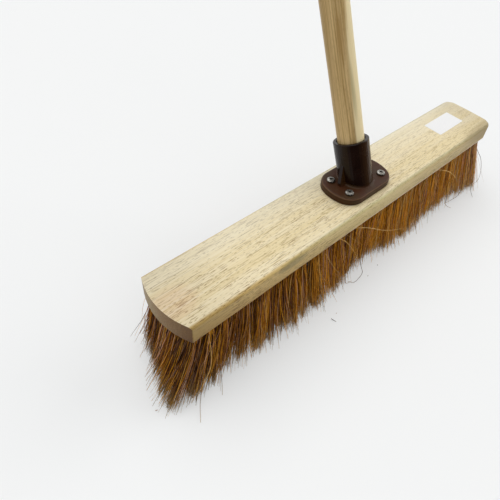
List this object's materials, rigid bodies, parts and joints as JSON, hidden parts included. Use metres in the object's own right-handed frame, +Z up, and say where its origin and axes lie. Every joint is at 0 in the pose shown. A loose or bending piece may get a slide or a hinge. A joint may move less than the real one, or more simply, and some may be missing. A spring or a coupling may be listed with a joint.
{
  "type": "stiff yard broom",
  "caption": "Stiff yard broom: flat wooden stock with flared coir tufts below, moulded socket bracket screwed on top, round wooden handle leaning back out of it.",
  "frame": {"origin": "bottom centre of the broom's box: on the floor that the bristle tips stand on, midway along the stock, and midway between the near tips and the handle's far end", "axes": "+X along the stock, +Y the way the handle leans, +Z up"},
  "size_m": [0.532, 0.5882, 1.3663],
  "materials": {
    "pale_hardwood": "sanded, unvarnished pale hardwood",
    "handle_wood": "turned and sanded wood with brown streaks",
    "brown_plastic": "semi-gloss dark brown moulding",
    "zinc_steel": "bright zinc plate",
    "coir_fibre": "matte natural coir"
  },
  "bodies": {
    "root": {"stock": "pale_hardwood", "socket_bracket": "brown_plastic", "handle": "handle_wood", "handle_screw": "zinc_steel", "flange_screw_1": "zinc_steel", "flange_screw_2": "zinc_steel", "flange_screw_3": "zinc_steel", "flange_screw_4": "zinc_steel", "tuft_near_01": "coir_fibre", "tuft_near_02": "coir_fibre", "tuft_near_03": "coir_fibre", "tuft_near_04": "coir_fibre", "tuft_near_05": "coir_fibre", "tuft_near_06": "coir_fibre", "tuft_near_07": "coir_fibre", "tuft_near_08": "coir_fibre", "tuft_near_09": "coir_fibre", "tuft_near_10": "coir_fibre", "tuft_near_11": "coir_fibre", "tuft_near_12": "coir_fibre", "tuft_near_13": "coir_fibre", "tuft_near_14": "coir_fibre", "tuft_near_15": "coir_fibre", "tuft_near_16": "coir_fibre", "tuft_near_17": "coir_fibre", "tuft_middle_01": "coir_fibre", "tuft_middle_02": "coir_fibre", "tuft_middle_03": "coir_fibre", "tuft_middle_04": "coir_fibre", "tuft_middle_05": "coir_fibre", "tuft_middle_06": "coir_fibre", "tuft_middle_07": "coir_fibre", "tuft_middle_08": "coir_fibre", "tuft_middle_09": "coir_fibre", "tuft_middle_10": "coir_fibre", "tuft_middle_11": "coir_fibre", "tuft_middle_12": "coir_fibre", "tuft_middle_13": "coir_fibre", "tuft_middle_14": "coir_fibre", "tuft_middle_15": "coir_fibre", "tuft_middle_16": "coir_fibre", "tuft_middle_17": "coir_fibre", "tuft_far_01": "coir_fibre", "tuft_far_02": "coir_fibre", "tuft_far_03": "coir_fibre", "tuft_far_04": "coir_fibre", "tuft_far_05": "coir_fibre", "tuft_far_06": "coir_fibre", "tuft_far_07": "coir_fibre", "tuft_far_08": "coir_fibre", "tuft_far_09": "coir_fibre", "tuft_far_10": "coir_fibre", "tuft_far_11": "coir_fibre", "tuft_far_12": "coir_fibre", "tuft_far_13": "coir_fibre", "tuft_far_14": "coir_fibre", "tuft_far_15": "coir_fibre", "tuft_far_16": "coir_fibre", "tuft_far_17": "coir_fibre"}
  },
  "joints": []
}
